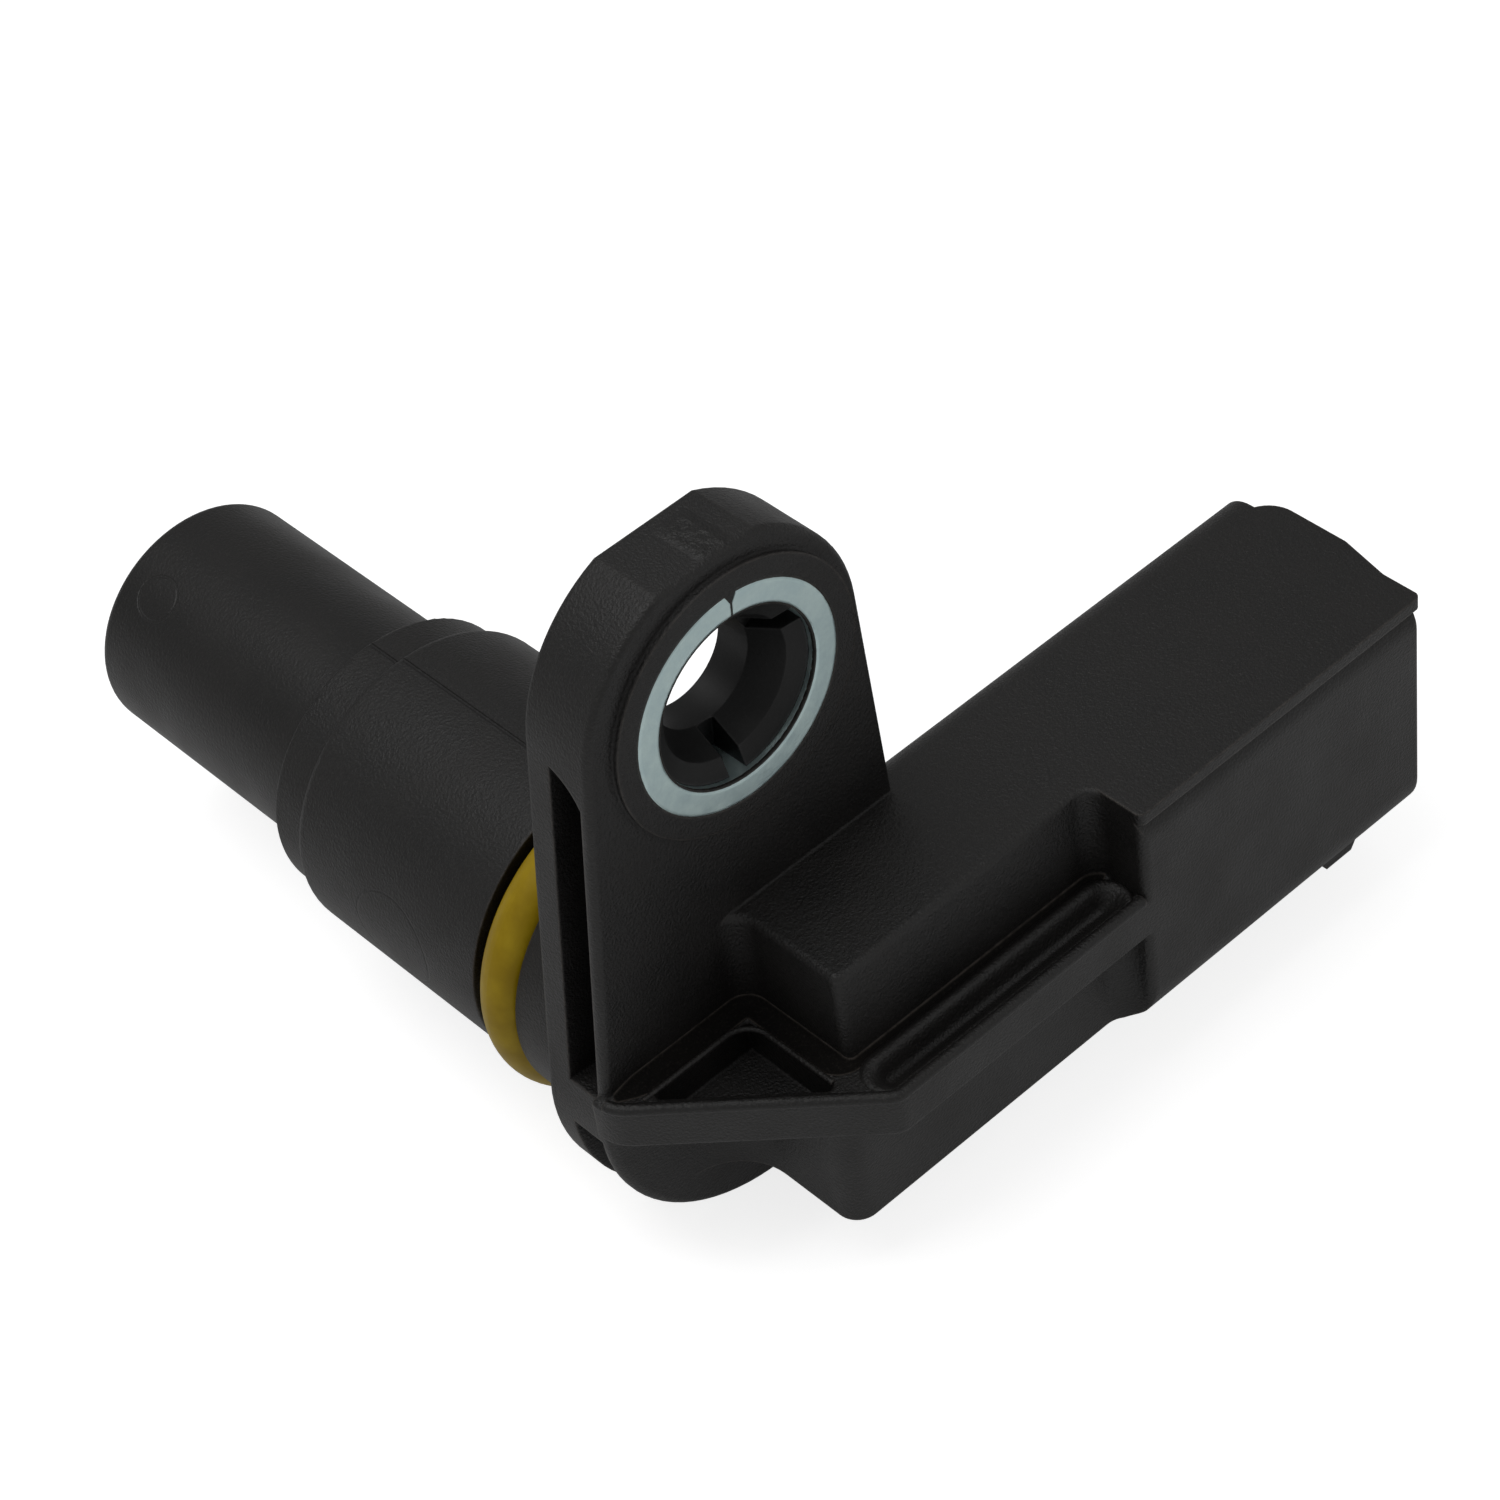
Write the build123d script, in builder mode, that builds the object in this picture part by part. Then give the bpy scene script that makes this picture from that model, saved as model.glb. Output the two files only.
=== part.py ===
"""Camshaft position sensor: a moulded housing with a bolt ear, a probe and a plug socket.

X runs towards the socket's mouth, Y along the probe to its tip and Z up to the bolt ear.
The origin is where the probe's axis meets the seat face that lies on the engine.
All sizes are in millimetres.
"""
import os
from math import acos, atan2, cos, hypot, radians, sin, sqrt

from build123d import *

# Probe and the bore that it plugs into
bore_radius = 9.15
bore_clearance = 0.05
root_length = 3.8
groove_width = 3.4
barrel_length = 22.1
barrel_round = 0.5
lead_in_length = 2.8
lead_in_depth = 0.7
lead_in_round = 0.25
probe_length = 42.8

# Rubber ring in the groove
ring_section = 2.8
ring_squeeze = 0.2
ring_shift = 0.15
ring_gap = 0.02

# Tip sleeve that is moulded first and carries the coil
tip_radius = 7.05
tip_wall = 1.2
tip_edge = 0.6
tip_embed = 10.8
grip_rib_height = 0.4
grip_rib_width = 1.0
grip_rib_pitch = 3.2
grip_rib_count = 3

# Coil, pole and magnet inside the tip sleeve
coil_clearance = 0.1
fit_clearance = 0.02
pole_radius = 2.0
pole_length = 13.2
spool_wall = 0.8
spool_flange = 1.0
winding_length = 10.0
winding_depth = 2.4
tape_thickness = 0.2
magnet_radius = 4.0
magnet_length = 6.0
back_plate_thickness = 1.5

# Terminals and the coil's pins
blade_width = 2.8
blade_thickness = 0.8
blade_pitch = 5.0
blade_setback = 4.2
blade_point = 0.7
blade_edge = 0.25
tail_width = 2.0
pin_size = 0.7
weld_length = 3.0
weld_gap = 0.5

# Bolt ear
bolt_x = 1.8
bolt_height = 21.6
ear_thickness = 4.6
ear_edge = 0.4
seat_edge = 0.35
lobe_x = 0.45
lobe_z = -0.95
lobe_radius = 10.8
ear_left_radius = 9.3
ear_right_radius = 9.2
ear_right_shift = -0.85
ear_right_rise = 0.2
ear_top = 8.65
pad_radius = 7.7

# Slots moulded into the left side of the ear and into the underside of its lobe
slot_front_wall = 0.6
slot_width = 2.2
slot_depth = 3.6
slot_start = 1.4
slot_length = 18.9
slot_crown = 1.5
lobe_slot_depth = 2.4
lobe_slot_top = -1.2
lobe_slot_end = 3.0

# Steel sleeve in the ear
sleeve_length = 5.0
sleeve_radius = 6.5
sleeve_wall = 1.5
sleeve_edge = 0.25
sleeve_proud = 0.05
seam_angle = 86.0
seam_width = 0.15
notch_width = 1.1
notch_depth = 1.2

# Plastic collar that keeps the bolt in the steel sleeve
bolt_hole_radius = 3.1
collar_rim = 1.0
collar_rim_slope = 0.5
collar_setback = 0.5
collar_land = 2.2
collar_web = 2.1
collar_slot = 1.1
collar_slot_angle = -95.0
collar_slots = 3

# Socket for the plug
socket_width = 13.7
socket_height = 16.1
socket_center_y = -8.65
socket_center_z = 0.2
socket_start = 17.5
socket_start_round = 0.5
socket_mouth = 38.5
socket_wall = 1.4
socket_floor = 2.6
socket_low_corner = 2.9
socket_high_corner = 2.1
socket_inner_corner = 1.4
lip_thickness = 0.76
lip_reach = 0.35
lip_corner = 0.4
tongue_length = 0.7
tongue_foot = 2.6
tongue_rise = 3.2
tongue_foot_round = 1.0
tongue_round = 1.0
tongue_back_round = 2.0
key_width = 1.2
key_height = 0.7
latch_width = 10.2
latch_length = 2.8
latch_ramp = 0.8
latch_heel = 0.5
latch_height = 1.2
latch_setback = 2.7

# Neck between the ear and the socket
neck_edge = 0.35
upper_left = -0.3
upper_corner = 0.5
upper_root = 1.3
upper_shoulder = 1.2
lower_left = -2.4
lower_front = -13.45
lower_corner = 1.3
lower_root = 3.5
lower_shoulder = 1.5
lower_bottom = -7.6
foot_round = 0.3
root_reach = 1.1

# Ledge that runs round the neck to the ear, with a gutter and a pocket sunk into its top
ledge_left = -10.5
ledge_side = 0.6
ledge_bottom = -0.6
ledge_wall = 0.9
ledge_top = 2.1
ledge_edge = 0.25
ledge_corner = 1.2
ledge_end_round = 2.4
gutter_width = 1.55
gutter_floor = 0.0
gutter_round = 0.3
skirt_width = 1.1
pocket_margin = 1.35
pocket_round = 1.4
rim_edge = 0.25

# Sizes that follow from the ones above
barrel_radius = bore_radius - bore_clearance
groove_radius = bore_radius - ring_section * (1 - ring_squeeze)
barrel_end = barrel_length + lead_in_length
lead_in_radius = barrel_radius - lead_in_depth
tip_rear = barrel_end - tip_embed
tip_bore = tip_radius - tip_wall
tip_floor = probe_length - tip_wall
spool_radius = tip_bore - coil_clearance
spool_core = pole_radius + spool_wall
winding_radius = spool_core + winding_depth
winding_end = tip_floor - spool_flange
winding_start = winding_end - winding_length
pole_start = tip_floor - pole_length
magnet_start = pole_start - magnet_length
spool_start = magnet_start - back_plate_thickness
tail_end = spool_start - weld_gap
pin_reach = (magnet_radius + spool_radius) / 2
sleeve_bore = sleeve_radius - sleeve_wall
pad_height = sleeve_length - sleeve_proud
socket_top = socket_center_z + socket_height / 2
socket_bottom = socket_center_z - socket_height / 2
socket_front = socket_center_y - socket_width / 2
socket_back = socket_center_y + socket_width / 2
cavity_start = socket_start + socket_floor
blade_end = socket_mouth - blade_setback
skirt_front = socket_front + ledge_wall + gutter_width
panel_y = skirt_front + skirt_width
collar_mouth_radius = sleeve_bore - collar_rim
collar_front = collar_setback - sleeve_length
bolt = (bolt_x, bolt_height)
lobe = (lobe_x, lobe_z)

os.makedirs("parts", exist_ok=True)


def on_circle(center, radius, angle):
    """Point on a circle at an angle in radians."""
    return (center[0] + radius * cos(angle), center[1] + radius * sin(angle))


def tangent_angle(first, first_radius, second, second_radius, side):
    """Angle of the radius to the straight edge that touches two circles on one side."""
    dx, dy = second[0] - first[0], second[1] - first[1]
    return atan2(dy, dx) + side * acos((first_radius - second_radius) / hypot(dx, dy))


def across(y):
    """Plane square to the probe at a distance from the seat, facing the tip."""
    return Plane(origin=(0, y, 0), x_dir=(1, 0, 0), z_dir=(0, 1, 0))


# Tip sleeve: a closed cup, ribbed where the barrel grips it
with BuildPart() as tip_sleeve:
    with BuildSketch():
        with Locations((tip_radius / 2, (tip_rear + probe_length) / 2)):
            Rectangle(tip_radius, probe_length - tip_rear)
        fillet(vertices().sort_by_distance((tip_radius, probe_length))[0], radius=tip_edge)
        with Locations((tip_bore / 2, (tip_rear + tip_floor) / 2)):
            Rectangle(tip_bore, tip_floor - tip_rear, mode=Mode.SUBTRACT)
        for number in range(grip_rib_count):
            rib_y = tip_rear + grip_rib_width / 2 + number * grip_rib_pitch
            with Locations((tip_radius, rib_y)):
                Rectangle(2 * grip_rib_height, grip_rib_width)
    revolve(axis=Axis.Y)
tip_sleeve.part.label = "tip_sleeve"
export_step(tip_sleeve.part, "parts/tip_sleeve.step")

# Coil pins, pressed into the spool, and the stamped terminals welded to them
pins = []
terminals = []
for name, side in (("upper", 1), ("lower", -1)):
    blade_z = socket_center_z + side * blade_pitch / 2
    pin_z = blade_z + side * (blade_thickness + pin_size) / 2
    pin_x = sqrt(pin_reach**2 - pin_z**2)

    with BuildPart() as coil_pin:
        with BuildSketch(Plane.XZ.offset(-winding_start)):
            with Locations((pin_x, pin_z)):
                Rectangle(pin_size, pin_size)
        extrude(amount=winding_start - tail_end + weld_length)
    coil_pin.part.label = f"coil_pin_{name}"
    export_step(coil_pin.part, f"parts/coil_pin_{name}.step")
    pins.append(coil_pin.part)

    with BuildPart() as terminal:
        with BuildSketch(Plane.XY.offset(blade_z)):
            with BuildLine():
                Polyline(
                    (pin_x - tail_width / 2, tail_end),
                    (pin_x + tail_width / 2, tail_end),
                    (pin_x + tail_width / 2, socket_center_y + blade_width / 2),
                    (blade_end - blade_point, socket_center_y + blade_width / 2),
                    (blade_end, socket_center_y + blade_width / 2 - blade_point),
                    (blade_end, socket_center_y - blade_width / 2 + blade_point),
                    (blade_end - blade_point, socket_center_y - blade_width / 2),
                    (pin_x - tail_width / 2, socket_center_y - blade_width / 2),
                    close=True,
                )
            make_face()
        extrude(amount=blade_thickness / 2, both=True)
        tip_edges = terminal.faces().sort_by(Axis.X)[-1].edges().filter_by(Axis.Y)
        chamfer(tip_edges, length=blade_edge)
    terminal.part.label = f"terminal_{name}"
    export_step(terminal.part, f"parts/terminal_{name}.step")
    terminals.append(terminal.part)

# Spool: the coil's core tube between two flanges, with the magnet's pocket at the rear
with BuildPart() as spool:
    with BuildSketch():
        with BuildLine():
            Polyline(
                (magnet_radius, spool_start),
                (spool_radius, spool_start),
                (spool_radius, winding_start),
                (spool_core, winding_start),
                (spool_core, winding_end),
                (spool_radius, winding_end),
                (spool_radius, tip_floor),
                (pole_radius, tip_floor),
                (pole_radius, pole_start),
                (magnet_radius, pole_start),
                close=True,
            )
        make_face()
    revolve(axis=Axis.Y)
    for pin in pins:
        add(pin, mode=Mode.SUBTRACT)
spool.part.label = "spool"
export_step(spool.part, "parts/spool.step")

with BuildPart() as winding:
    with BuildSketch(across(winding_start)):
        Circle(winding_radius)
        Circle(spool_core, mode=Mode.SUBTRACT)
    extrude(amount=winding_length)
winding.part.label = "winding"
export_step(winding.part, "parts/winding.step")

with BuildPart() as winding_tape:
    with BuildSketch(across(winding_start)):
        Circle(winding_radius + tape_thickness)
        Circle(winding_radius, mode=Mode.SUBTRACT)
    extrude(amount=winding_length)
winding_tape.part.label = "winding_tape"
export_step(winding_tape.part, "parts/winding_tape.step")

with BuildPart() as pole_piece:
    with BuildSketch(across(pole_start)):
        Circle(pole_radius - fit_clearance)
    extrude(amount=pole_length)
pole_piece.part.label = "pole_piece"
export_step(pole_piece.part, "parts/pole_piece.step")

with BuildPart() as magnet:
    with BuildSketch(across(magnet_start)):
        Circle(magnet_radius - fit_clearance)
    extrude(amount=magnet_length)
magnet.part.label = "magnet"
export_step(magnet.part, "parts/magnet.step")

with BuildPart() as back_plate:
    with BuildSketch(across(spool_start)):
        Circle(magnet_radius - fit_clearance)
    extrude(amount=back_plate_thickness)
back_plate.part.label = "back_plate"
export_step(back_plate.part, "parts/back_plate.step")

# Rubber ring in the groove, proud of the barrel by the squeeze that the bore gives it
ring_center = groove_radius + ring_gap + ring_section / 2
ring_y = root_length + groove_width / 2 - ring_shift
with BuildPart() as seal_ring:
    with BuildSketch():
        with Locations((ring_center, ring_y)):
            Circle(ring_section / 2)
    revolve(axis=Axis.Y)
seal_ring.part.label = "seal_ring"
export_step(seal_ring.part, "parts/seal_ring.step")

# Steel sleeve, rolled from strip: its ends meet in a seam that is notched at the front
with BuildPart() as ear_sleeve:
    with BuildSketch(Plane.XZ):
        with Locations(bolt):
            Circle(sleeve_radius)
            Circle(sleeve_bore, mode=Mode.SUBTRACT)
    extrude(amount=sleeve_length)
    fillet(ear_sleeve.edges().filter_by(GeomType.CIRCLE), radius=sleeve_edge)
    with BuildSketch(Plane.XZ):
        with Locations(bolt):
            with PolarLocations(sleeve_radius, 1, start_angle=seam_angle):
                Rectangle(3 * sleeve_wall, seam_width)
    extrude(amount=sleeve_length, mode=Mode.SUBTRACT)
    notch_inner = sleeve_radius - sleeve_wall / 2
    with BuildSketch(Plane.XZ.offset(sleeve_length)):
        with BuildLine(Location(bolt, seam_angle)):
            Polyline(
                (notch_inner, 0),
                (sleeve_radius + sleeve_edge, notch_width / 2),
                (sleeve_radius + sleeve_edge, -notch_width / 2),
                close=True,
            )
        make_face()
    extrude(amount=-notch_depth, mode=Mode.SUBTRACT)
ear_sleeve.part.label = "ear_sleeve"
export_step(ear_sleeve.part, "parts/ear_sleeve.step")

# Plastic collar in the steel sleeve: a funnel with a sloping rim, cut by slots to half depth
with BuildPart() as bolt_collar:
    with BuildSketch(Plane.XY.offset(bolt_height)):
        with BuildLine():
            Polyline(
                (bolt_x + sleeve_bore - fit_clearance, collar_front),
                (bolt_x + collar_mouth_radius, collar_front + collar_rim_slope),
                (bolt_x + bolt_hole_radius, -collar_land),
                (bolt_x + bolt_hole_radius, -sleeve_proud),
                (bolt_x + sleeve_bore - fit_clearance, -sleeve_proud),
                close=True,
            )
        make_face()
    revolve(axis=Axis((bolt_x, 0, bolt_height), (0, 1, 0)))
    with BuildSketch(Plane.XZ.offset(sleeve_proud + collar_web)):
        with Locations(bolt):
            with PolarLocations(sleeve_bore, collar_slots, start_angle=collar_slot_angle):
                Rectangle(2 * (sleeve_bore - bolt_hole_radius), collar_slot)
    extrude(amount=sleeve_length, mode=Mode.SUBTRACT)
bolt_collar.part.label = "bolt_collar"
export_step(bolt_collar.part, "parts/bolt_collar.step")

# Bolt ear. Its outline is a round lobe near the probe's axis, a straight edge up each
# side, a round on each side of the bolt and a flat top between them.
right_center = (bolt_x + ear_right_shift, bolt_height + ear_right_rise)
right_rise = ear_top - ear_right_rise
left_angle = tangent_angle(lobe, lobe_radius, bolt, ear_left_radius, 1)
right_angle = tangent_angle(lobe, lobe_radius, right_center, ear_right_radius, -1)
top_angle = radians(180) - atan2(ear_top, sqrt(ear_left_radius**2 - ear_top**2))
right_top_angle = atan2(right_rise, sqrt(ear_right_radius**2 - right_rise**2))
left_low = on_circle(lobe, lobe_radius, left_angle)
left_high = on_circle(bolt, ear_left_radius, left_angle)
left_middle = on_circle(bolt, ear_left_radius, (left_angle + top_angle) / 2)
left_top = on_circle(bolt, ear_left_radius, top_angle)
right_low = on_circle(lobe, lobe_radius, right_angle)
right_high = on_circle(right_center, ear_right_radius, right_angle)
right_middle = on_circle(right_center, ear_right_radius, (right_angle + right_top_angle) / 2)
right_top = on_circle(right_center, ear_right_radius, right_top_angle)
lobe_bottom = on_circle(lobe, lobe_radius, radians(-90))
ear_side = Plane(
    origin=(left_low[0], 0, left_low[1]),
    x_dir=(0, -1, 0),
    z_dir=(cos(left_angle), 0, sin(left_angle)),
)
slot_front = ear_thickness - slot_front_wall
slot_rear = slot_front - slot_width
slot_end = slot_start + slot_length

with BuildPart() as ear:
    with BuildSketch(Plane.XZ):
        with BuildLine():
            Line(left_low, left_high)
            ThreePointArc(left_high, left_middle, left_top)
            Line(left_top, right_top)
            ThreePointArc(right_top, right_middle, right_high)
            Line(right_high, right_low)
            ThreePointArc(right_low, lobe_bottom, left_low)
        make_face()
    extrude(amount=ear_thickness)
    fillet(ear.faces().sort_by(Axis.Y)[0].edges(), radius=ear_edge)
    fillet(ear.faces().sort_by(Axis.Y)[-1].edges(), radius=seat_edge)
    with BuildSketch(Plane.XZ.offset(ear_edge)):
        with Locations(bolt):
            Circle(pad_radius)
    extrude(amount=pad_height - ear_edge)
    # The slot's crown is curved and rises towards the seat
    with BuildSketch(ear_side):
        with BuildLine():
            Polyline(
                (slot_front, slot_end),
                (slot_front, slot_start),
                (slot_rear, slot_start),
                (slot_rear, slot_end + slot_crown),
            )
            RadiusArc(
                (slot_rear, slot_end + slot_crown),
                (slot_front, slot_end),
                slot_width + slot_crown,
            )
        make_face()
    extrude(amount=-slot_depth, mode=Mode.SUBTRACT)
    # The lobe's slot follows its round from the left side to beyond the bottom
    with BuildSketch(Plane.XZ.offset(slot_rear)):
        with Locations(lobe):
            Circle(2 * lobe_radius)
            Circle(lobe_radius - lobe_slot_depth, mode=Mode.SUBTRACT)
        with Locations((lobe_slot_end - lobe_radius, lobe_slot_top - lobe_radius)):
            Rectangle(2 * lobe_radius, 2 * lobe_radius, mode=Mode.INTERSECT)
    extrude(amount=slot_width, mode=Mode.SUBTRACT)

# Outer section of the socket, which also bounds the neck
with BuildSketch(Plane.YZ.offset(cavity_start)) as socket_section:
    with Locations((socket_center_y, socket_center_z)):
        Rectangle(socket_width, socket_height)
    fillet(vertices().group_by(Axis.Y)[0], radius=socket_low_corner)
    fillet(vertices().group_by(Axis.Y)[-1], radius=socket_high_corner)


def neck_outline(left, front, corner, root, shoulder):
    """Plan of a neck block with hollow rounds where it meets the ear and the socket."""
    buried_front = socket_front + socket_start_round
    with BuildSketch(Plane.XY.offset(lower_bottom)) as outline:
        with BuildLine():
            Polyline(
                (left - root_reach * root, -slot_front),
                (left - root_reach * root, -ear_thickness),
                (left, -ear_thickness),
                (left, front),
                (socket_start, front),
                (socket_start, buried_front),
                (cavity_start, buried_front),
                (cavity_start, socket_back),
                (bolt_x, socket_back),
                (bolt_x, -slot_front),
                close=True,
            )
        make_face()
        for corner_x, corner_y, radius in (
            (left, -ear_thickness, root),
            (left, front, corner),
            (socket_start, front, shoulder),
        ):
            fillet(vertices().sort_by_distance((corner_x, corner_y, lower_bottom))[0], radius)
    return outline.sketch


# Neck: an upper block behind the bare panel, on a wider lower one
with BuildPart() as neck:
    extrude(
        neck_outline(lower_left, lower_front, lower_corner, lower_root, lower_shoulder),
        amount=ledge_bottom - lower_bottom,
    )
    extrude(
        neck_outline(upper_left, panel_y, upper_corner, upper_root, upper_shoulder),
        amount=socket_top - lower_bottom,
    )
    extrude(
        socket_section.sketch,
        amount=ledge_left - cavity_start,
        mode=Mode.INTERSECT,
    )
    # The round runs on from the panel's top edge into the corners beside it
    panel_top = ((upper_left + socket_start) / 2, panel_y, socket_top)
    fillet(neck.edges().sort_by_distance(panel_top)[0], radius=neck_edge)

# Ledge: a flat shelf with a pocket beside the ear and a gutter along the front. Both
# the shelf and the gutter run on into the socket, which fills them there.
gutter_end = socket_start + socket_start_round
diagonal = ledge_left - ear_thickness - ledge_side
gutter_diagonal = diagonal + ledge_wall * sqrt(2)
gutter_front = socket_front + ledge_wall
pocket_back = -ear_thickness - pocket_margin
pocket_right = upper_left - pocket_margin
pocket_corners = (
    (pocket_right, pocket_back),
    (gutter_diagonal - pocket_back, pocket_back),
    (pocket_right, gutter_diagonal - pocket_right),
)
gutter_corners = (
    (upper_left, skirt_front),
    (gutter_diagonal - gutter_front, gutter_front),
    (gutter_end, gutter_front),
    (gutter_end, skirt_front),
)

with BuildPart() as ledge:
    with BuildSketch(Plane.XY.offset(ledge_bottom)):
        with BuildLine():
            Polyline(
                (ledge_left, -slot_front),
                (ledge_left, diagonal - ledge_left),
                (diagonal - socket_front, socket_front),
                (cavity_start, socket_front),
                (cavity_start, -slot_front),
                close=True,
            )
        make_face()
        for corner_x, corner_y, radius in (
            (diagonal - socket_front, socket_front, ledge_corner),
            (ledge_left, diagonal - ledge_left, ledge_end_round),
        ):
            fillet(vertices().sort_by_distance((corner_x, corner_y, ledge_bottom))[0], radius)
    extrude(amount=ledge_top - ledge_bottom)
    for corners, inner_radius in ((pocket_corners, pocket_round), (gutter_corners, gutter_round)):
        with BuildSketch(Plane.XY.offset(gutter_floor)):
            with BuildLine():
                Polyline(*corners, close=True)
            make_face()
            first_corner = vertices().sort_by_distance((*corners[0], gutter_floor))
            fillet(first_corner[1:], radius=gutter_round)
            fillet(first_corner[0], radius=inner_radius)
        extrude(amount=ledge_top - gutter_floor, mode=Mode.SUBTRACT)
    shelf_top = ledge.faces().filter_by(Axis.Z).sort_by(Axis.Z)[-1]
    fillet(shelf_top.inner_wires().edges(), radius=rim_edge)
    for height in (ledge_top, ledge_bottom):
        outer_edge = ledge.edges().sort_by_distance((socket_start / 2, socket_front, height))[0]
        fillet(outer_edge, radius=ledge_edge)

# Socket: a rounded tube, a flat top plate with a lip and a tongue, and a latch below
with BuildPart() as socket:
    extrude(socket_section.sketch, amount=socket_start - cavity_start)
    extrude(socket_section.sketch, amount=socket_mouth - cavity_start)
    # The front wall's start is rounded above and below the ledge
    round_end = (socket_start + socket_start_round, socket_front)
    round_start = (socket_start, socket_front + socket_start_round)
    with BuildSketch(Plane.XY.offset(socket_bottom)):
        with BuildLine():
            Line(round_start, (socket_start, socket_front))
            Line((socket_start, socket_front), round_end)
            RadiusArc(round_end, round_start, socket_start_round)
        make_face()
    extrude(amount=socket_height, mode=Mode.SUBTRACT)
    # The top plate stands over the rounded front corner and runs out into a tongue
    lip_end = socket_mouth + lip_reach
    tongue_end = lip_end + tongue_length
    plate_back = socket_back - socket_high_corner
    tongue_front = socket_front + tongue_foot
    with BuildSketch(Plane.XY.offset(socket_top)):
        with BuildLine():
            Polyline(
                (socket_start, plate_back),
                (socket_start, socket_front),
                (lip_end, socket_front),
                (lip_end, tongue_front),
                (tongue_end, tongue_front + tongue_rise),
                (tongue_end, plate_back),
                close=True,
            )
        make_face()
        for corner_x, corner_y, radius in (
            (socket_start, socket_front, lip_corner),
            (lip_end, socket_front, lip_corner),
            (lip_end, tongue_front, tongue_foot_round),
            (tongue_end, tongue_front + tongue_rise, tongue_round),
            (tongue_end, plate_back, tongue_back_round),
        ):
            fillet(vertices().sort_by_distance((corner_x, corner_y, socket_top))[0], radius)
    extrude(amount=-lip_thickness)
    # The plug's clip snaps over the latch
    latch_x = socket_mouth - latch_setback
    latch_low = socket_bottom - latch_height
    with BuildSketch(Plane.XZ.offset(-socket_center_y)):
        with BuildLine():
            Polyline(
                (latch_x, socket_bottom + socket_wall / 2),
                (latch_x, socket_bottom),
                (latch_x - latch_ramp, latch_low),
                (latch_x - latch_length, latch_low),
                (latch_x - latch_length - latch_heel, socket_bottom),
                (latch_x - latch_length - latch_heel, socket_bottom + socket_wall / 2),
                close=True,
            )
        make_face()
    extrude(amount=latch_width / 2, both=True)
    with BuildSketch(Plane.YZ.offset(cavity_start)):
        with Locations((socket_center_y, socket_center_z)):
            RectangleRounded(
                socket_width - 2 * socket_wall,
                socket_height - 2 * socket_wall,
                socket_inner_corner,
            )
    extrude(amount=socket_mouth - cavity_start, mode=Mode.SUBTRACT)
    # Keys on the two short walls let only the right plug in
    with BuildSketch(Plane.YZ.offset(cavity_start)):
        with Locations((socket_center_y, socket_center_z)):
            with GridLocations(0, socket_height - 2 * socket_wall - key_height, 1, 2):
                Rectangle(key_width, key_height)
    extrude(amount=socket_mouth - cavity_start)

# Barrel of the probe with the seal groove and the lead-in
with BuildPart() as barrel:
    with BuildSketch():
        with BuildLine():
            Polyline(
                (0, -ear_edge),
                (barrel_radius, -ear_edge),
                (barrel_radius, root_length),
                (groove_radius, root_length),
                (groove_radius, root_length + groove_width),
                (barrel_radius, root_length + groove_width),
                (barrel_radius, barrel_length),
                (lead_in_radius, barrel_length),
                (lead_in_radius, barrel_end),
                (0, barrel_end),
                close=True,
            )
        make_face()
        for corner_x, corner_y, radius in (
            (barrel_radius, barrel_length, barrel_round),
            (lead_in_radius, barrel_end, lead_in_round),
        ):
            fillet(vertices().sort_by_distance((corner_x, corner_y))[0], radius)
    revolve(axis=Axis.Y)

# Housing: all of these in one moulding, formed round the pieces that lie inside it
with BuildPart() as housing:
    add(ear.part)
    add(neck.part)
    add(ledge.part)
    add(socket.part)
    # One hollow round joins the shelf to the ear, the block and the socket
    panel_foot = ((upper_left + socket_start) / 2, panel_y, ledge_top)
    fillet(housing.edges().sort_by_distance(panel_foot)[0], radius=foot_round)
    add(barrel.part)
    with BuildSketch(Plane.XZ):
        with Locations(bolt):
            Circle(sleeve_bore)
    extrude(amount=sleeve_length, mode=Mode.SUBTRACT)
    with BuildSketch(across(spool_start)):
        Circle(tip_bore)
    extrude(amount=barrel_end - spool_start, mode=Mode.SUBTRACT)
    for inner in (tip_sleeve.part, ear_sleeve.part, *pins, *terminals):
        add(inner, mode=Mode.SUBTRACT)
housing.part.label = "housing"
export_step(housing.part, "parts/housing.step")
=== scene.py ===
"""Camshaft position sensor on a pale studio floor, seen from the photograph's viewpoint."""
import math

import bmesh
import bpy
from mathutils import Matrix, Vector


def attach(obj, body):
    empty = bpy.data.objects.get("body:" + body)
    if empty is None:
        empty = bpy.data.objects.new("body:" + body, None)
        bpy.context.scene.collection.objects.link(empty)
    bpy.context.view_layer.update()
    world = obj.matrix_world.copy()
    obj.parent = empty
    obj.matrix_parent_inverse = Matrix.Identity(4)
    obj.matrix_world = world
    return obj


MM = 0.001

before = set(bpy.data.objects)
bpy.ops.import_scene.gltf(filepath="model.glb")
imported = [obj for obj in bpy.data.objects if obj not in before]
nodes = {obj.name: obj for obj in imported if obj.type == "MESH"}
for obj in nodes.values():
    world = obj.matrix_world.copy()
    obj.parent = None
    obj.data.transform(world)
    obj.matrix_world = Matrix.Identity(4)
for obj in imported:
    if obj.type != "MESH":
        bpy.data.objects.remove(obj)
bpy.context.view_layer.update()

# Places on the sensor, in millimetres in the frame of the CAD model
BARREL_RADIUS = 9.1
EAR_TOP = 30.25
LOWEST_POINT = -11.75

# The ledge beside the ear and the block, in the same frame
EAR_FACE = -4.6
BLOCK_LEFT = -0.3
PANEL = -11.95
LEDGE_FRONT = -15.5
LEDGE_SLANT = -15.7  # x + y along its slanted edge
LEDGE_END = (-8.1, -4.206)  # middle of the round at its left end
LEDGE_END_RADIUS = 2.4
LEDGE_TOP = 2.1
SOCKET_START = 17.5

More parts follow.
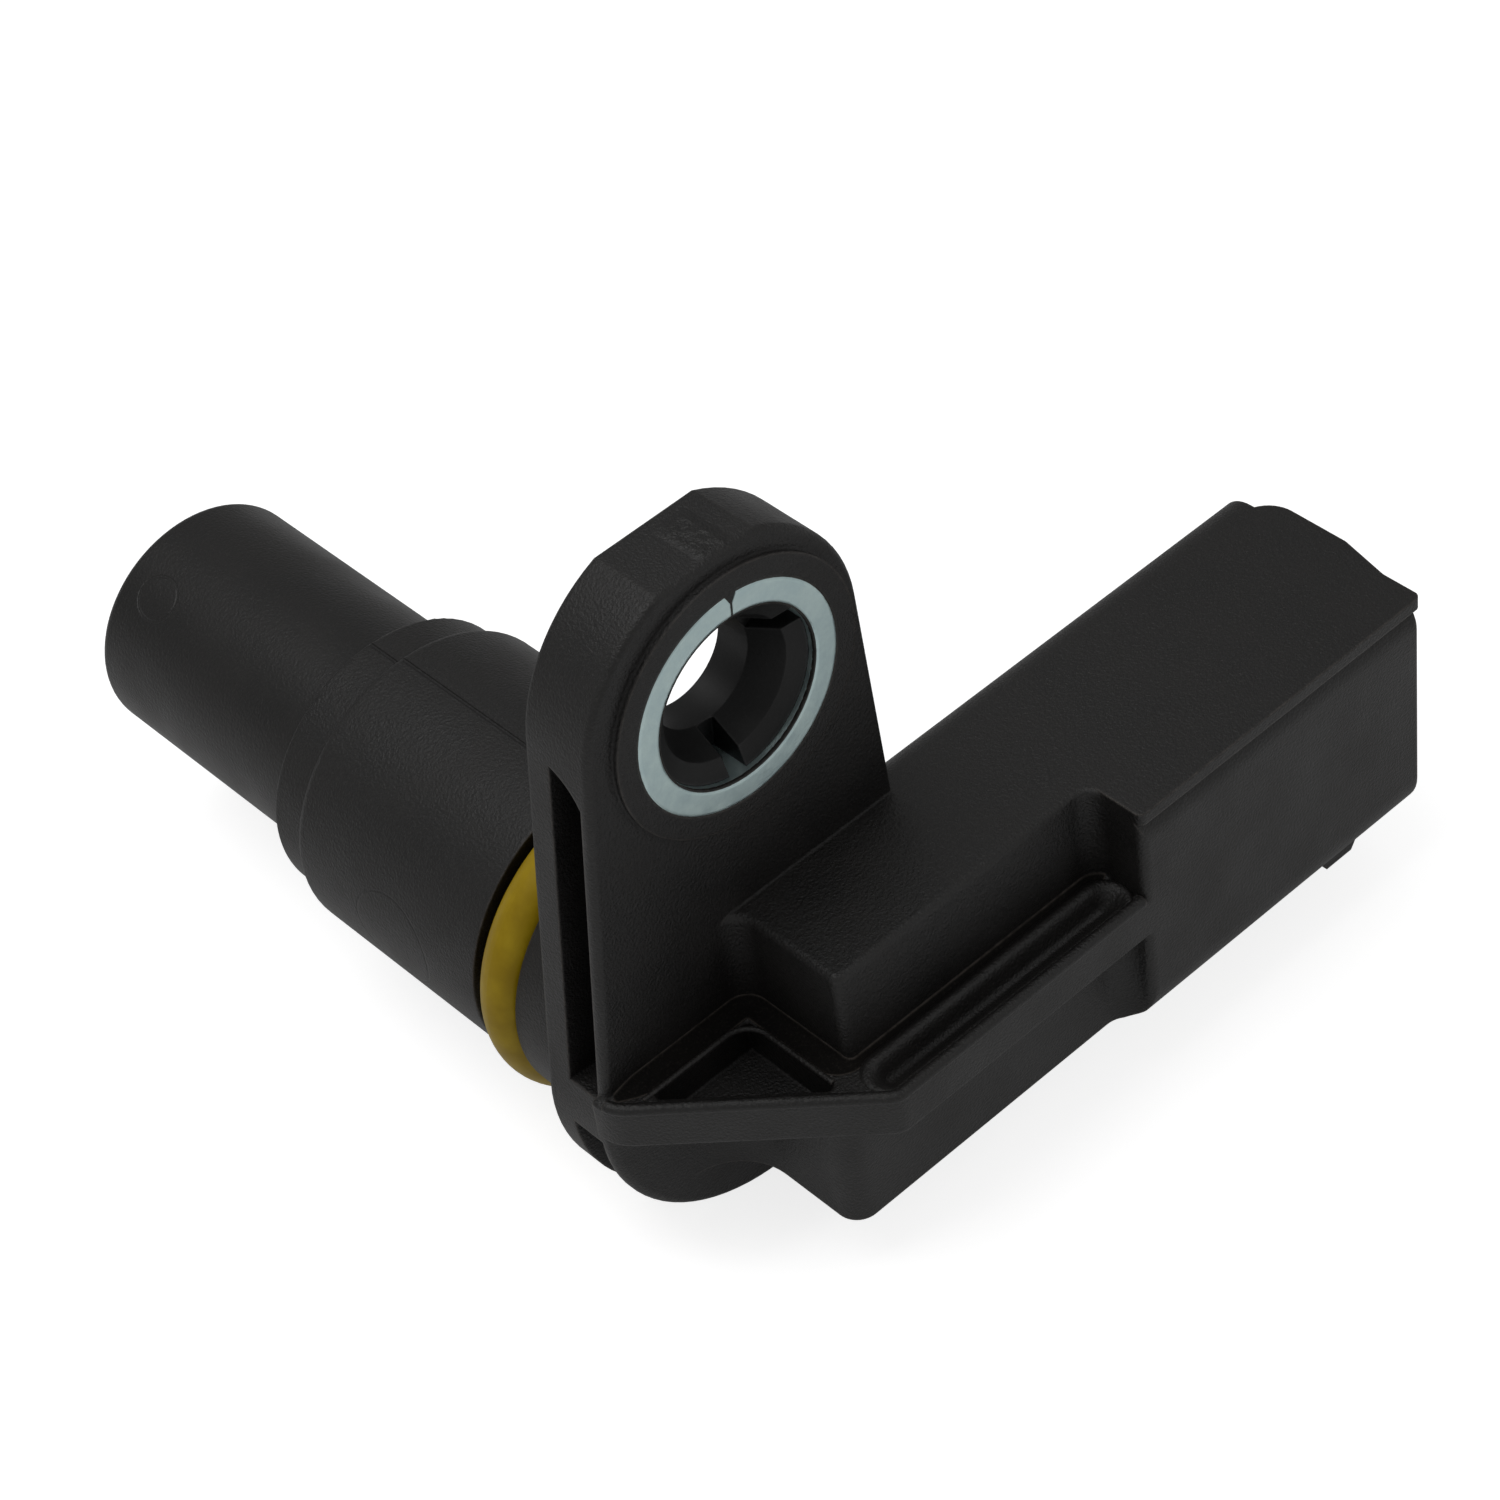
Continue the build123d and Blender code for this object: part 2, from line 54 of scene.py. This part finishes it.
# Warm black of the moulded plastic in its darker and lighter patches, and how many times paler
# than the lighter ones its dust and the painted highlight on its outer edges are
BLACK_DARK = (0.0044, 0.004, 0.0036)
BLACK_LIGHT = (0.0067, 0.0058, 0.0051)
DUST_GAIN = 3
EDGE_HIGHLIGHT_GAIN = 10

# Brightness of the floor and of the light from all round. The floor glows for the camera, so
# that it reads as white there, and a little in reflections.
FLOOR_GREY = 0.65
FLOOR_GLOW_SEEN = 0.78
FLOOR_GLOW_REFLECTED = 0.17
SKY = 0.3

# Colour sockets of a mix node, which share their names with its other sockets
MIX_FIRST, MIX_SECOND, MIX_RESULT = 6, 7, 2

# Directions over the ledge
TO_TIP = Vector((0, 1))
TO_FRONT = Vector((0, -1))
TO_LEFT = Vector((-1, 0))
TO_RIGHT = Vector((1, 0))


class Graph:
    """Short calls that build the node tree of one material."""

    def __init__(self, name):
        self.material = bpy.data.materials.new(name)
        self.material.use_nodes = True
        self.tree = self.material.node_tree
        self.tree.nodes.clear()
        self.shader = self.add("ShaderNodeBsdfPrincipled")
        self.output = self.add("ShaderNodeOutputMaterial")
        self.link(self.shader.outputs["BSDF"], self.output.inputs["Surface"])
        self.coordinates = self.add("ShaderNodeTexCoord").outputs["Object"]

    def add(self, kind, **settings):
        """New node with its settings."""
        node = self.tree.nodes.new(kind)
        for key, value in settings.items():
            setattr(node, key, value)
        return node

    def link(self, source, target):
        """Wire from one socket to another."""
        self.tree.links.new(source, target)

    def put(self, target, value):
        """Wire a socket into a target, or write a number or an RGB triple there."""
        if isinstance(value, bpy.types.NodeSocket):
            self.link(value, target)
        elif isinstance(value, tuple):
            target.default_value = (*value, 1.0)
        else:
            target.default_value = value

    def surface(self, name, value):
        """Socket or plain value for one input of the shader."""
        self.put(self.shader.inputs[name], value)

    def math(self, operation, first, second=0.0):
        """Result of a math node."""
        node = self.add("ShaderNodeMath", operation=operation)
        self.put(node.inputs[0], first)
        self.put(node.inputs[1], second)
        return node.outputs[0]

    def product(self, first, *others):
        """All values multiplied."""
        for other in others:
            first = self.math("MULTIPLY", first, other)
        return first

    def axes(self):
        """X, Y and Z of the surface point in metres."""
        node = self.add("ShaderNodeSeparateXYZ")
        self.link(self.coordinates, node.inputs[0])
        return node.outputs

    def noise(self, size_mm, detail=3.0, roughness=0.5):
        """Noise from 0 to 1 with features of about a size in millimetres."""
        node = self.add("ShaderNodeTexNoise")
        self.link(self.coordinates, node.inputs["Vector"])
        node.inputs["Scale"].default_value = 1 / (size_mm * MM)
        node.inputs["Detail"].default_value = detail
        node.inputs["Roughness"].default_value = roughness
        return node.outputs["Fac"]

    def ramp(self, value, low, high, start=0.0, end=1.0):
        """Value carried from the span low to high onto start to end, and held there."""
        node = self.add("ShaderNodeMapRange", clamp=True)
        self.put(node.inputs["Value"], value)
        limits = {"From Min": low, "From Max": high, "To Min": start, "To Max": end}
        for key, number in limits.items():
            node.inputs[key].default_value = number
        return node.outputs["Result"]

    def band(self, value, center, half_width, soft):
        """1 within half_width of center, falling to 0 over soft."""
        gap = self.math("ABSOLUTE", self.math("SUBTRACT", value, center))
        return self.ramp(gap, half_width, half_width + soft, 1.0, 0.0)

    def ring(self, center_mm, radius_mm):
        """1 on the thin ring that an ejector pin leaves round a place on the sensor."""
        node = self.add("ShaderNodeVectorMath", operation="DISTANCE")
        self.link(self.coordinates, node.inputs[0])
        node.inputs[1].default_value = tuple(value * MM for value in center_mm)
        return self.band(node.outputs["Value"], radius_mm * MM, 0.03 * MM, 0.06 * MM)

    def mix(self, factor, first, second):
        """Colour between two colours."""
        node = self.add("ShaderNodeMix", data_type="RGBA")
        self.put(node.inputs["Factor"], factor)
        self.put(node.inputs[MIX_FIRST], first)
        self.put(node.inputs[MIX_SECOND], second)
        return node.outputs[MIX_RESULT]

    def rounded(self, edge_mm):
        """Normal that is turned near edges as if they were rounded."""
        bevel = self.add("ShaderNodeBevel", samples=6)
        bevel.inputs["Radius"].default_value = edge_mm * MM
        return bevel.outputs["Normal"]

    def outer_edges(self, edge_mm):
        """1 on outer edges, falling to 0 at a distance from them in millimetres."""
        turn = self.add("ShaderNodeVectorMath", operation="DOT_PRODUCT")
        self.link(self.rounded(edge_mm), turn.inputs[0])
        self.link(self.add("ShaderNodeNewGeometry").outputs["Normal"], turn.inputs[1])
        on_edge = self.ramp(turn.outputs["Value"], 0.86, 0.99, 1.0, 0.0)
        bare = self.add("ShaderNodeAmbientOcclusion", samples=6, only_local=True)
        bare.inputs["Distance"].default_value = 2 * edge_mm * MM
        return self.product(on_edge, self.ramp(bare.outputs["AO"], 0.75, 0.92))

    def relief(self, layers, edge_mm=0.0):
        """Bump from (height socket, depth in millimetres) layers over rounded edges."""
        normal = self.rounded(edge_mm) if edge_mm else None
        for height, depth_mm in layers:
            bump = self.add("ShaderNodeBump")
            self.link(height, bump.inputs["Height"])
            bump.inputs["Distance"].default_value = depth_mm * MM
            if normal:
                self.link(normal, bump.inputs["Normal"])
            normal = bump.outputs["Normal"]
        self.surface("Normal", normal)


def moulded_black(name, grain_mm, grain_depth_mm, roughness, dark=BLACK_DARK, light=BLACK_LIGHT):
    """Graph of a black plastic with flow marks, dust and a painted highlight in patches along its
    outer edges, and a list with its grain as the first layer of relief."""
    g = Graph(name)
    flow = g.noise(4.0, 2.0)
    base = g.mix(g.ramp(flow, 0.35, 0.7), dark, light)
    speckle = g.ramp(g.noise(0.14, 2.0), 0.55, 0.75)
    dust = tuple(value * DUST_GAIN for value in light)
    dusty = g.mix(g.product(speckle, 0.6), base, dust)
    patchy = g.ramp(g.noise(0.5, 3.0), 0.3, 0.6, 0.4, 1.0)
    # Paler patches on the outer edges: a painted highlight.
    painted_edge_highlight = tuple(value * EDGE_HIGHLIGHT_GAIN for value in light)
    g.surface("Base Color", g.mix(g.product(g.outer_edges(0.22), patchy), dusty, painted_edge_highlight))
    g.surface("Roughness", g.ramp(flow, 0.3, 0.75, roughness - 0.05, roughness + 0.06))
    return g, [(g.noise(grain_mm, 2.0, 0.6), grain_depth_mm)]


def housing_plastic():
    """Glass-filled plastic with the barrel's seam and ejector mark and the ear's gate mark."""
    g, layers = moulded_black("housing_plastic", 0.16, 0.07, 0.5)
    x, y, z = g.axes()
    seam = g.band(x, 0.0, 0.05 * MM, 0.08 * MM)
    on_barrel = g.product(g.ramp(z, 6 * MM, 6.5 * MM), g.ramp(y, 7 * MM, 7.4 * MM))
    layers.append((g.product(seam, on_barrel), -0.15))
    layers.append((g.ring((-BARREL_RADIUS, 14.1, 0), 2.9), -0.04))
    gate_length = g.band(y, -2.6 * MM, 1.2 * MM, 0.6 * MM)
    gate_width = g.band(x, 2.4 * MM, 0.6 * MM, 0.5 * MM)
    on_top = g.ramp(z, (EAR_TOP - 0.3) * MM, (EAR_TOP - 0.2) * MM)
    layers.append((g.product(gate_length, gate_width, on_top, g.noise(0.45, 3.0)), 0.3))
    g.relief(layers, edge_mm=0.25)
    return g.material


def painted_shade_plastic():
    """Duller plastic of the housing with little shine, for the hollows of the ledge: a dark finish
    that is painted shade.
    """
    g, layers = moulded_black("painted_shade_plastic", 0.16, 0.04, 0.8)
    # Little shine, so that the band is dark as painted shade.
    g.surface("Specular IOR Level", 0.08)
    g.relief(layers)
    return g.material


def tip_plastic():
    """Smoother plastic of the tip. Its ejector mark is 1.4 mm in radius, because the ring's
    middle lies 1.25 mm outside the tip."""
    g, layers = moulded_black("tip_plastic", 0.18, 0.04, 0.45)
    angle, out = math.radians(125), 8.3
    layers.append((g.ring((out * math.cos(angle), 39.6, out * math.sin(angle)), 1.9), -0.03))
    g.relief(layers, edge_mm=0.12)
    return g.material


def plain_black(name):
    """Even black plastic of the collar and the spool."""
    g, layers = moulded_black(name, 0.2, 0.01, 0.5, dark=(0.002,) * 3, light=(0.003,) * 3)
    g.surface("Specular IOR Level", 0.4)
    g.relief(layers, edge_mm=0.1)
    return g.material


def zinc_steel():
    """Zinc-plated steel with a fine cloudy finish and rolled edges."""
    g = Graph("sleeve_steel")
    cloud = g.noise(0.9, 4.0, 0.6)
    g.surface("Base Color", g.mix(g.ramp(cloud, 0.35, 0.7), (0.54, 0.68, 0.69), (0.66, 0.8, 0.79)))
    g.surface("Metallic", 1.0)
    g.surface("Roughness", g.ramp(cloud, 0.3, 0.7, 0.38, 0.5))
    g.relief([(g.noise(0.25, 3.0, 0.6), 0.012)], edge_mm=0.08)
    return g.material


def seal_rubber():
    """Mustard-yellow rubber with a faint bloom."""
    g = Graph("seal_rubber")
    bloom = g.ramp(g.noise(1.5, 3.0), 0.35, 0.7)
    g.surface("Base Color", g.mix(bloom, (0.33, 0.215, 0.004), (0.42, 0.285, 0.008)))
    g.surface("Roughness", 0.42)
    g.surface("Specular IOR Level", 0.2)
    g.relief([(g.noise(0.2, 2.0), 0.006)])
    return g.material


def metal(name, base, roughness):
    """Plain metal of an inner piece."""
    g = Graph(name)
    darker = tuple(value * 0.85 for value in base)
    g.surface("Base Color", g.mix(g.noise(0.8, 3.0), darker, base))
    g.surface("Metallic", 1.0)
    g.surface("Roughness", roughness)
    g.relief([(g.noise(0.15, 2.0), 0.004)], edge_mm=0.05)
    return g.material


def copper_turns():
    """Enamelled copper wire 0.12 mm thick, wound in close turns along the probe."""
    g = Graph("copper_wire")
    _, y, _ = g.axes()
    turn = g.math("SINE", g.product(y, 2 * math.pi / (0.12 * MM)))
    g.surface("Base Color", (0.5, 0.2, 0.08))
    g.surface("Metallic", 1.0)
    g.surface("Roughness", 0.3)
    g.relief([(turn, 0.03)])
    return g.material


def tape_film():
    """Amber film over the coil."""
    g = Graph("tape_film")
    g.surface("Base Color", g.mix(g.noise(1.2), (0.55, 0.33, 0.05), (0.62, 0.4, 0.08)))
    g.surface("Roughness", 0.25)
    g.relief([(g.noise(0.8, 2.0), 0.01)])
    return g.material


FINISHES = {
    "housing": housing_plastic(),
    "tip_sleeve": tip_plastic(),
    "bolt_collar": plain_black("collar_plastic"),
    "spool": plain_black("spool_plastic"),
    "ear_sleeve": zinc_steel(),
    "seal_ring": seal_rubber(),
    "winding": copper_turns(),
    "winding_tape": tape_film(),
    "pole_piece": metal("pole_iron", (0.42, 0.41, 0.4), 0.45),
    "magnet": metal("magnet_alloy", (0.5, 0.5, 0.52), 0.35),
}
FINISHES["back_plate"] = FINISHES["pole_piece"]
contacts = ("coil_pin_upper", "coil_pin_lower", "terminal_upper", "terminal_lower")
FINISHES.update(dict.fromkeys(contacts, metal("contact_metal", (0.62, 0.61, 0.57), 0.3)))
for name, material in FINISHES.items():
    for slot in nodes[name].material_slots:
        slot.material = material


def fan(start, end, steps=8):
    """Unit directions that turn from one angle to another, in degrees."""
    angles = [math.radians(start + (end - start) * step / steps) for step in range(steps + 1)]
    return [Vector((math.cos(angle), math.sin(angle))) for angle in angles]


def arc(center, radius, start, end):
    """Points and outward directions along an arc, its angles in degrees."""
    return [(Vector(center) + radius * away, away) for away in fan(start, end)]


def oval(reach, height, half_reach, half_height, steps):
    """Round profile about a middle. A negative half height winds it the other way, for a
    path whose directions point to its right."""
    turns = fan(0, 360, steps)[:-1]
    return [(reach + half_reach * turn.x, height + half_height * turn.y) for turn in turns]


def skin(loops, size):
    """Faces between closed loops of points that follow one another."""
    faces = []
    for loop in range(loops - 1):
        for column in range(size):
            first = loop * size + column
            beside = loop * size + (column + 1) % size
            faces.append((first, beside, beside + size, first + size))
    return faces


def housing_mesh(name, points, faces, material=FINISHES["housing"]):
    """Smooth mesh in the housing's slot that rides with the sensor, its points in millimetres.
    Points at one place are joined, so that it is closed."""
    mesh = bpy.data.meshes.new(name)
    mesh.from_pydata([tuple(Vector(point) * MM) for point in points], [], faces)
    welded = bmesh.new()
    welded.from_mesh(mesh)
    bmesh.ops.remove_doubles(welded, verts=welded.verts, dist=0.001 * MM)
    welded.to_mesh(mesh)
    welded.free()
    mesh.shade_smooth()
    mesh.set_sharp_from_angle(angle=math.radians(50))
    piece = bpy.data.objects.new(name, mesh)
    bpy.context.collection.objects.link(piece)
    mesh.materials.append(material)
    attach(piece, "root")


def swept(name, path, profile, material=FINISHES["housing"]):
    """Closed strip along a path of places, directions and scales, with a profile of
    (reach, height over the ledge) points."""
    points = []
    for place, direction, scale in path:
        for reach, height in profile:
            flat = place + reach * scale * direction
            points.append((flat.x, flat.y, LEDGE_TOP + height * scale))
    size = len(profile)
    last = (len(path) - 1) * size
    caps = [tuple(reversed(range(size))), tuple(range(last, last + size))]
    housing_mesh(name, points, caps + skin(len(path), size), material)


def sunken_foot():
    """Band in the hollow between the walls and the pocket, and along the panel's foot. Its dull
    dark finish is painted shade.
    """
    root, corner, shoulder = 1.3, 0.5, 1.2
    along_ear = ((-9.7, 0.35), (-8.8, 0.8), (-8.2, 1.0), (-3.5, 1.0))  # x and scale
    path = [(Vector((x, EAR_FACE)), TO_FRONT, scale) for x, scale in along_ear]
    middle = (BLOCK_LEFT - root, EAR_FACE - root)
    path += [(place, -away, 1.0) for place, away in arc(middle, root, 90, 0)]
    path.append((Vector((BLOCK_LEFT, -10.6)), TO_LEFT, 1.0))
    middle = (BLOCK_LEFT + corner, PANEL + corner)
    path += [(place, away, 1.0 + 0.5 * away.y) for place, away in arc(middle, corner, 180, 270)]
    middle = (SOCKET_START - shoulder, PANEL - shoulder)
    path += [(place, -away, 0.5) for place, away in arc(middle, shoulder, 90, 20)]
    profile = (
        (-0.05, -0.3), (-0.05, 0.6), (0.1, 0.35), (0.3, 0.15), (0.6, 0.06), (1.0, 0.03),
        (1.22, 0.02), (1.22, -0.3),
    )
    # Dull dark finish on this band: painted shade.
    swept("sunken_foot", path, profile, painted_shade_plastic())


def pocket_bead():
    """Thin bead along the pocket's rim beside the ear and the block."""
    rear, right, corner = -5.9, -1.6, 1.45
    path = [(Vector((x, rear)), TO_TIP, scale) for x, scale in ((-8.7, 0.7), (-8.2, 1.0))]
    middle = (right - corner, rear - corner)
    path += [(place, away, 1.0) for place, away in arc(middle, corner, 90, 0)]
    path.append((Vector((right, -12.2)), TO_RIGHT, 1.0))
    swept("pocket_bead", path, oval(0, -0.02, 0.16, 0.16, 12))


def rim_bead():
    """Rounded rim along the ledge's outer edge."""
    corner = 1.2
    path = [(place, away, 1.0) for place, away in arc(LEDGE_END, LEDGE_END_RADIUS, 192, 225)]
    y = LEDGE_FRONT + corner
    middle = (corner * math.sqrt(2) + LEDGE_SLANT - y, y)
    path += [(place, away, 1.0) for place, away in arc(middle, corner, 225, 270)]
    path.append((Vector((SOCKET_START, LEDGE_FRONT)), TO_FRONT, 1.0))
    swept("rim_bead", path, oval(-0.3, -0.12, 0.36, -0.34, 16))


def gutter_trough():
    """Smooth trough between two beads, in place of the gutter's sharp edges."""
    # (reach from the middle line, height in the CAD frame) on each side, from the bottom out
    near_panel = (
        (0.0, 0.95), (0.15, 1.3), (0.25, 1.8), (0.35, 2.15), (0.47, 2.34), (0.65, 2.4),
        (0.85, 2.36), (1.05, 2.25), (1.2, 2.12), (1.35, 2.0),
    )
    near_front = (
        (0.0, 0.95), (0.15, 0.97), (0.45, 1.1), (0.8, 1.4), (1.15, 1.72), (1.45, 1.98),
        (1.65, 2.14), (1.8, 2.2), (1.91, 2.14), (1.99, 2.0),
    )
    underside = 0.8
    left = Vector((0.9, -13.45))
    right = Vector((16.0, -13.45))
    path = [(left, TO_TIP), (right, TO_TIP)]
    path += [(right, away) for away in fan(80, -80, 12)]
    path += [(right, TO_FRONT), (left, TO_FRONT)]
    path += [(left, away) for away in fan(260, 100, 12)]
    points = []
    for (reach_panel, high_panel), (reach_front, high_front) in zip(near_panel, near_front):
        for place, away in path:
            toward_panel = (1 + away.y) / 2
            reach = reach_front + (reach_panel - reach_front) * toward_panel
            height = high_front + (high_panel - high_front) * toward_panel
            flat = place + reach * away
            points.append((flat.x, flat.y, height))
    size = len(path)
    points += [(x, y, underside) for x, y, _ in points[-size:]]
    base = tuple(range(len(points) - size, len(points)))
    housing_mesh("gutter_trough", points, skin(len(near_panel) + 1, size) + [base])


sunken_foot()
pocket_bead()
rim_bead()
gutter_trough()


def studio_floor():
    """Pale floor that reads as white to the camera and still takes the shadow."""
    bpy.ops.mesh.primitive_plane_add(size=3.0, location=(0, 0, LOWEST_POINT * MM))
    floor = bpy.context.object
    floor.name = "studio_floor"
    g = Graph("studio_floor")
    g.surface("Base Color", (FLOOR_GREY,) * 3)
    g.surface("Roughness", 0.9)
    g.surface("Specular IOR Level", 0.1)
    ray = g.add("ShaderNodeLightPath")
    seen = g.product(ray.outputs["Is Camera Ray"], FLOOR_GLOW_SEEN)
    reflected = g.product(ray.outputs["Is Glossy Ray"], FLOOR_GLOW_REFLECTED)
    glow = g.add("ShaderNodeEmission")
    g.link(g.math("MAXIMUM", seen, reflected), glow.inputs["Strength"])
    both = g.add("ShaderNodeAddShader")
    g.link(g.shader.outputs["BSDF"], both.inputs[0])
    g.link(glow.outputs["Emission"], both.inputs[1])
    g.link(both.outputs["Shader"], g.output.inputs["Surface"])
    floor.data.materials.append(g.material)


def studio_world():
    """Soft light from all round, white where the camera sees it."""
    world = bpy.data.worlds.new("studio")
    bpy.context.scene.world = world
    world.use_nodes = True
    tree = world.node_tree
    background = tree.nodes["Background"]
    background.inputs["Color"].default_value = (1.0, 1.0, 1.0, 1.0)
    ray = tree.nodes.new("ShaderNodeLightPath")
    strength = tree.nodes.new("ShaderNodeMapRange")
    tree.links.new(ray.outputs["Is Camera Ray"], strength.inputs["Value"])
    strength.inputs["To Min"].default_value = SKY
    strength.inputs["To Max"].default_value = 1.0
    tree.links.new(strength.outputs["Result"], background.inputs["Strength"])


def softbox(name, place_mm, aim_mm, size_mm, power):
    """Square area light that faces a point."""
    lamp = bpy.data.lights.new(name, "AREA")
    lamp.size = size_mm * MM
    lamp.energy = power
    obj = bpy.data.objects.new(name, lamp)
    bpy.context.collection.objects.link(obj)
    place = Vector(place_mm) * MM
    aim = Vector(aim_mm) * MM
    obj.location = place
    obj.rotation_euler = (aim - place).to_track_quat("-Z", "Y").to_euler()


def photograph_camera():
    """Camera that was fitted to the photograph: its lens, place and axes."""
    camera = bpy.data.cameras.new("photograph")
    camera.sensor_width = 36.0
    camera.lens = 99.6
    camera.clip_start = 0.01
    obj = bpy.data.objects.new("photograph", camera)
    bpy.context.collection.objects.link(obj)
    place = Vector((-83.83, -120.61, 157.32)) * MM
    right = Vector((0.7272, -0.6769, -0.1141))
    up = Vector((0.5365, 0.4568, 0.7095))
    turn = Matrix((right, up, right.cross(up))).transposed().to_4x4()
    obj.matrix_world = Matrix.Translation(place) @ turn
    bpy.context.scene.camera = obj


studio_floor()
studio_world()
softbox("key", (-60, 40, 260), (8, 5, 0), 180, 0.25)
softbox("side", (-240, -60, 90), (0, 5, 0), 160, 0.012)
softbox("edge", (120, -190, 160), (8, -5, 0), 50, 0.045)
photograph_camera()
bpy.context.scene.view_settings.view_transform = "Standard"
